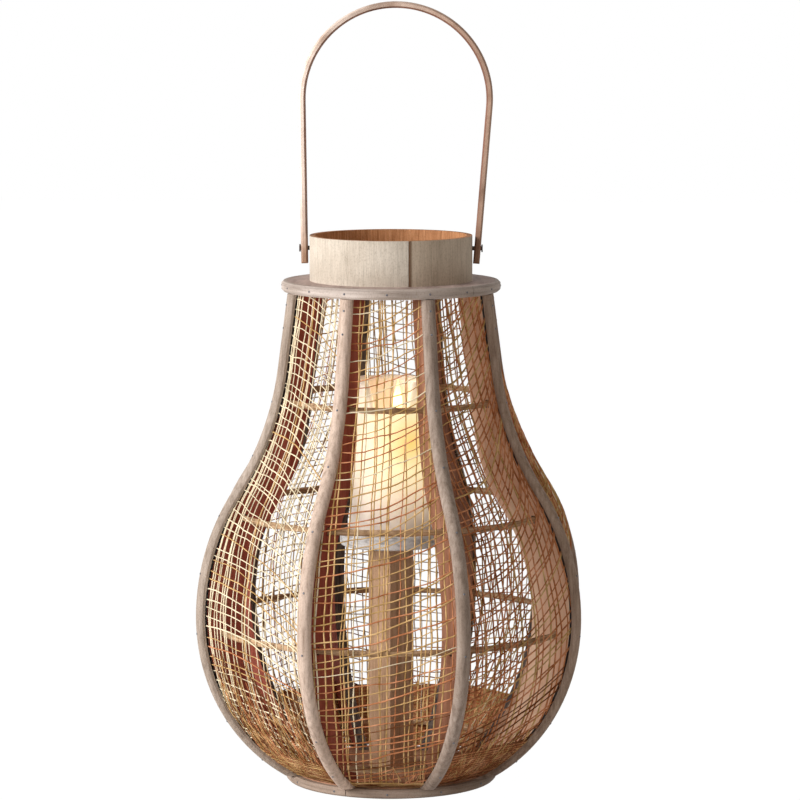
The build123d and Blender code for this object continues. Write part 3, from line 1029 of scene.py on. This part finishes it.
def candle_body(settings, material):
    """The pillar with a hollow, uneven rim and the low place burnt at its front."""
    wall = 0.008
    cup_depth = 0.041
    cup_shelf = 0.012
    cup_sag = 0.0005
    notch_depth = 0.029
    notch_reach = 0.020
    notch_radius = 0.038
    notch_half = asin(notch_reach / notch_radius)
    slope_start = 0.7
    slope_width = 0.5
    foot_round = 0.0015
    rim_round = 0.0025
    lip_drop = 0.001
    rim_pace = 3.2
    skin_ripple = 0.0004
    ripple_pace = 2.2
    ripple_rise = 40
    front = 1.5 * pi
    turns = 120
    rows = 26
    cup_rows = 8
    lowest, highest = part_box("candle_wax")
    cup_floor = highest.z - cup_depth
    notch_floor = highest.z - notch_depth
    outer = (highest.x - lowest.x) / 2
    points = []
    faces = []
    for turn in range(turns):
        angle = 2 * pi * turn / turns
        way = Vector((cos(angle), sin(angle), 0))
        off_front = abs((angle - front + pi) % (2 * pi) - pi)
        edge = max(0, min(1, (off_front / notch_half - slope_start) / slope_width))
        rise = edge * edge * (3 - 2 * edge)
        rim = notch_floor + (highest.z - notch_floor) * rise
        rim -= settings.rim_unevenness * (0.5 + 0.5 * noise.noise(way * rim_pace))
        column = [(outer - foot_round, lowest.z), (outer, lowest.z + foot_round)]
        for row in range(1, rows):
            height = lowest.z + (rim - lowest.z) * row / rows
            spot = way * ripple_pace + Vector((0, 0, height * ripple_rise))
            column.append((outer - skin_ripple + skin_ripple * noise.noise(spot), height))
        column.append((outer - rim_round, rim))
        column.append((outer - wall + rim_round, rim))
        lip = rim - lip_drop
        for row in range(1, cup_rows + 1):
            column.append((outer - wall, lip - (lip - cup_floor) * row / cup_rows))
        column.append((outer - wall - cup_shelf, cup_floor - cup_sag))
        for radius, height in column:
            points.append(way * radius + Vector((0, 0, height)))
    count = len(points) // turns
    for turn in range(turns):
        ahead = (turn + 1) % turns
        for row in range(count - 1):
            low = turn * count + row
            side = ahead * count + row
            faces.append((low, side, side + 1, low + 1))
    faces.append(tuple(turn * count for turn in range(turns)))
    faces.append(tuple(turn * count + count - 1 for turn in range(turns)))
    return new_piece("candle_pillar", points, faces, [material])


def turned(name, places, sides, material):
    """A closed form of round sections, each a (centre, radius) pair from its foot to its tip."""
    points = []
    for centre, radius in places:
        points += ring(centre, Vector((radius, 0, 0)), Vector((0, radius, 0)), sides)
    return new_piece(name, points, tube_faces(0, len(places), sides), [material])


def bent_wick(bend, material):
    """The charred wick, which leans over to the right and thins towards its tip."""
    steps = 8
    sides = 10
    foot_radius = 0.0012
    taper = 0.0003
    foot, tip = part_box("candle_wick")
    places = []
    for step in range(steps + 1):
        share = step / steps
        height = foot.z + (tip.z - foot.z) * share
        places.append((Vector((bend * share**2, 0, height)), foot_radius - taper * share))
    return turned("candle_wick_bent", places, sides, material)


def flame_form(settings, bend, low, material):
    """The flame, widest below its middle and drawn out to a point."""
    rings = 18
    sides = 20
    tip_lean = 0.001
    low_belly = 0.62
    fullness = 0.9
    taper = 0.35
    point = 0.03
    places = []
    for step in range(rings + 1):
        share = step / rings
        girth = point
        if 0 < step < rings:
            girth = sin(pi * share**low_belly) ** fullness * (1 - taper * share)
        centre = Vector((bend + tip_lean * share, 0, low + settings.flame_height * share))
        places.append((centre, settings.flame_radius * max(girth, point)))
    return turned("candle_flame", places, sides, material)


def flame_light(settings, flame, place):
    """A small warm light that moves with the flame."""
    lamp = bpy.data.lights.new("flame_light", "POINT")
    lamp.energy = settings.flame_power
    lamp.color = (1.0, 0.80, 0.56)
    lamp.shadow_soft_size = 0.012
    light = bpy.data.objects.new("flame_light", lamp)
    light.location = place
    bpy.context.scene.collection.objects.link(light)
    light.parent = flame
    light.matrix_parent_inverse = flame.matrix_world.inverted()


class LANTERN_OT_candle(bpy.types.Operator):
    """Makes the candle, its wick and its flame"""

    bl_idname = "lantern.candle"
    bl_label = "Make candle"

    def execute(self, context):
        settings = context.scene.lantern_candle
        wick_bend = 0.0055
        wick_in_flame = 0.004
        light_rise = 0.012
        lowest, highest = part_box("candle_wax")
        pillar = candle_body(settings, wax_material(settings.wax, lowest.z, highest.z))
        char = fibre("wick_char", (tone(18, 14, 12), tone(48, 34, 26), tone(96, 60, 36)))
        wick = bent_wick(wick_bend, char)
        flame_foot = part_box("candle_wick")[1].z - wick_in_flame
        glow = flame_material(flame_foot, flame_foot + settings.flame_height)
        flame = flame_form(settings, wick_bend, flame_foot, glow)
        for piece, name in ((pillar, "candle_wax"), (wick, "wick_cotton"), (flame, "candle_wax")):
            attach(piece, CANDLE)
        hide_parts("candle_wax")
        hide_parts("candle_wick")
        flame_light(settings, flame, (wick_bend, 0, highest.z + light_rise))
        return {"FINISHED"}


def area_light(name, place, aim, size, power, colour):
    """A soft square light turned towards a point."""
    lamp = bpy.data.lights.new(name, "AREA")
    lamp.energy = power
    lamp.size = size
    lamp.color = colour
    light = bpy.data.objects.new(name, lamp)
    light.location = place
    light.rotation_euler = (aim - place).to_track_quat("-Z", "Y").to_euler()
    bpy.context.scene.collection.objects.link(light)


def seen_share(tree, strength):
    """A strength for rays that reach the camera straight, by gloss or through glass, else 0."""
    rays = add_node(tree, "LightPath").outputs
    total = rays["Is Camera Ray"]
    for kind in ("Is Glossy Ray", "Is Transmission Ray"):
        total = calculate(tree, "Math", "MAXIMUM", total, rays[kind])["Value"]
    return calculate(tree, "Math", "MULTIPLY", total, strength)["Value"]


def mix_seen(tree, output, strength, light, seen):
    """Ends a tree in one shader as light and another where the camera sees it."""
    mix = add_node(tree, "MixShader", {0: seen_share(tree, strength), 1: light, 2: seen})
    set_inputs(tree, tree.nodes[output], {"Surface": mix.outputs["Shader"]})


def studio_white(name, strength):
    """A white surface that the camera sees almost evenly lit, with a faint shadow."""
    seen_white = 1.03
    material, tree, shader = new_material(name)
    mottle = stray(tree, (3, 3, 3), detail=2.0)
    white = ramp(tree, mottle, (0.3, (0.86, 0.86, 0.86, 1)), (0.7, (0.88, 0.88, 0.88, 1)))
    coat(tree, shader, white, roughness=0.9, gloss=0.0)
    glow = add_node(tree, "Emission", {"Strength": seen_white}).outputs["Emission"]
    mix_seen(tree, "Material Output", strength, shader.outputs["BSDF"], glow)
    return material


def white_world(scene, ambient):
    """White where the camera sees it, and a softer warm grey as light."""
    world = bpy.data.worlds.new("studio")
    world.use_nodes = True
    tree = world.node_tree
    soft = tree.nodes["Background"]
    set_inputs(tree, soft, {"Color": (1.0, 0.94, 0.87, 1), "Strength": ambient})
    white = add_node(tree, "Background", {"Color": WHITE, "Strength": 1.0}).outputs["Background"]
    mix_seen(tree, "World Output", 1.0, soft.outputs["Background"], white)
    scene.world = world


def set_camera(scene, settings):
    """A camera at the distance, height and turn that the settings give."""
    back = Vector((sin(settings.camera_yaw), -cos(settings.camera_yaw), 0))
    right = Vector((cos(settings.camera_yaw), sin(settings.camera_yaw), 0))
    aim = right * settings.aim_right + Vector((0, 0, settings.aim_height))
    place = back * settings.camera_distance + right * settings.aim_right
    place.z = settings.camera_height
    lens = bpy.data.cameras.new("camera")
    lens.lens = settings.lens
    lens.sensor_width = 36.0
    camera = bpy.data.objects.new("camera", lens)
    camera.location = place
    camera.rotation_euler = (aim - place).to_track_quat("-Z", "Y").to_euler()
    scene.collection.objects.link(camera)
    scene.camera = camera


class LANTERN_OT_stage(bpy.types.Operator):
    """Sets the floor, the lights and the camera"""

    bl_idname = "lantern.stage"
    bl_label = "Set stage"

    def execute(self, context):
        scene = context.scene
        settings = scene.lantern_stage
        scene.view_settings.view_transform = "Standard"
        reach = 8.0
        floor_glow = 0.97
        ambient = 0.26
        lit_middle = Vector((0, 0, 0.3))
        key_place = Vector((-2.25, -1.25, 1.2))
        key_size = 1.2
        fill_place = Vector((1.8, -1.4, 1.0))
        fill_size = 1.5
        corners = [(-reach, -reach, 0), (reach, -reach, 0), (reach, reach, 0), (-reach, reach, 0)]
        white = studio_white("floor_white", floor_glow)
        floor = new_piece("floor", corners, [(0, 1, 2, 3)], [white])
        white_world(scene, ambient)
        key = (key_size, settings.key_power, settings.key_colour)
        area_light("key_light", key_place, lit_middle, *key)
        fill = (fill_size, settings.fill_power, settings.fill_colour)
        area_light("fill_light", fill_place, lit_middle, *fill)
        set_camera(scene, settings)
        return {"FINISHED"}


class LANTERN_PT_panel(bpy.types.Panel):
    """Buttons and settings for the lantern"""

    bl_idname = "LANTERN_PT_panel"
    bl_label = "Lantern"
    bl_space_type = "VIEW_3D"
    bl_region_type = "UI"
    bl_category = "Lantern"

    def draw(self, context):
        layout = self.layout
        for operator in OPERATORS:
            layout.operator(operator.bl_idname)
        for group in SETTINGS:
            values = getattr(context.scene, group)
            for name in values.__annotations__:
                layout.prop(values, name)


SETTINGS = {
    "lantern_wood": WoodSettings,
    "lantern_weave": WeaveSettings,
    "lantern_cane": CaneSettings,
    "lantern_candle": CandleSettings,
    "lantern_stage": StageSettings,
}
OPERATORS = [
    LANTERN_OT_ribs,
    LANTERN_OT_ends,
    LANTERN_OT_bail,
    LANTERN_OT_pedestal,
    LANTERN_OT_hoops,
    LANTERN_OT_nails,
    LANTERN_OT_weave,
    LANTERN_OT_candle,
    LANTERN_OT_stage,
]


def register():
    for name, group in SETTINGS.items():
        bpy.utils.register_class(group)
        setattr(bpy.types.Scene, name, bpy.props.PointerProperty(type=group))
    for operator in OPERATORS:
        bpy.utils.register_class(operator)
    bpy.utils.register_class(LANTERN_PT_panel)


def unregister():
    bpy.utils.unregister_class(LANTERN_PT_panel)
    for operator in reversed(OPERATORS):
        bpy.utils.unregister_class(operator)
    for name, group in SETTINGS.items():
        delattr(bpy.types.Scene, name)
        bpy.utils.unregister_class(group)


def main():
    register()
    bpy.ops.lantern.ribs()
    bpy.ops.lantern.ends()
    bpy.ops.lantern.bail()
    bpy.ops.lantern.pedestal()
    bpy.ops.lantern.hoops()
    bpy.ops.lantern.nails()
    bpy.ops.lantern.weave()
    bpy.ops.lantern.candle()
    bpy.ops.lantern.stage()


if __name__ == "__main__":
    main()
